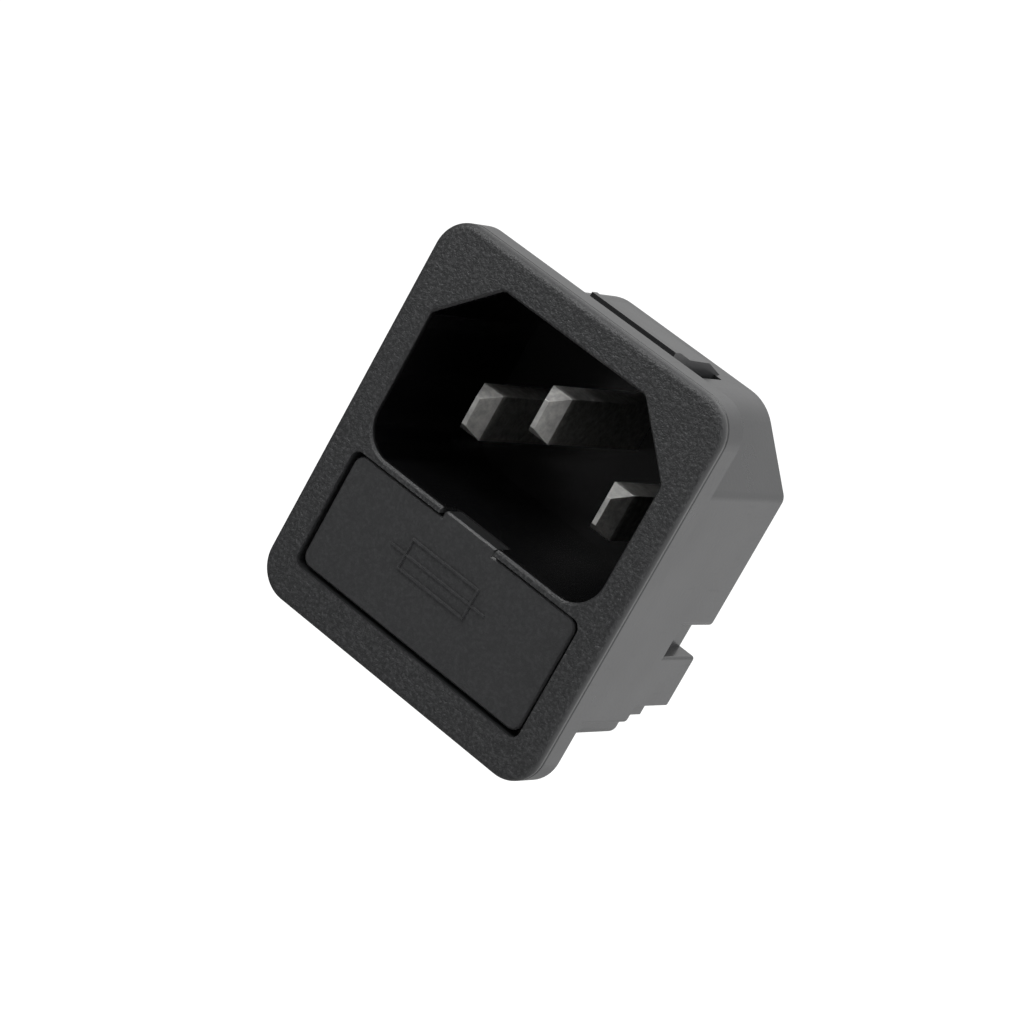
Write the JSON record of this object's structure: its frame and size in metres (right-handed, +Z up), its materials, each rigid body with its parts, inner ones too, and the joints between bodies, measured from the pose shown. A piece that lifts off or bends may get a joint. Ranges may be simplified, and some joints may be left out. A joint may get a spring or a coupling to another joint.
{
  "type": "c14 panel inlet socket with fuse drawer",
  "caption": "Snap-in mains inlet for a panel: a recessed appliance socket with flat blades above a pull-out drawer for a cartridge fuse and its spare.",
  "frame": {"origin": "centre of the flange on the plane where it bears on the panel", "axes": "+X right and +Z up as seen from the front, +Y from the flange into the panel; the socket opens towards -Y with its cut-off corners at the top"},
  "size_m": [0.0296, 0.0251, 0.0336],
  "materials": {
    "housing_plastic": "black, spark-eroded grain on the flange and smooth on the body",
    "drawer_plastic": "black, fine satin",
    "plated_blade": "nickel plated",
    "terminal_brass": "tin plated",
    "clip_bronze": "bare spring bronze",
    "rivet_metal": "nickel plated",
    "fuse_cap": "nickel plated",
    "fuse_glass": "clear",
    "fuse_element": "tinned wire"
  },
  "bodies": {
    "inlet": {"inlet_housing": "housing_plastic", "line_pin": "plated_blade", "neutral_pin": "plated_blade", "earth_pin": "plated_blade", "neutral_tab": "terminal_brass", "earth_tab": "terminal_brass", "load_tab": "terminal_brass", "line_link": "terminal_brass", "line_clip": "clip_bronze", "load_clip": "clip_bronze", "clip_rivets": "rivet_metal"},
    "drawer": {"fuse_drawer": "drawer_plastic", "fuse_tube": "fuse_glass", "fuse_cap_left": "fuse_cap", "fuse_cap_right": "fuse_cap", "fuse_wire": "fuse_element", "spare_tube": "fuse_glass", "spare_cap_left": "fuse_cap", "spare_cap_right": "fuse_cap", "spare_wire": "fuse_element"}
  },
  "joints": [
    {"name": "drawer_slide", "type": "slide", "parent": "inlet", "child": "drawer", "axis": [0, -1, 0], "range_m": [0, 0.0125]}
  ]
}
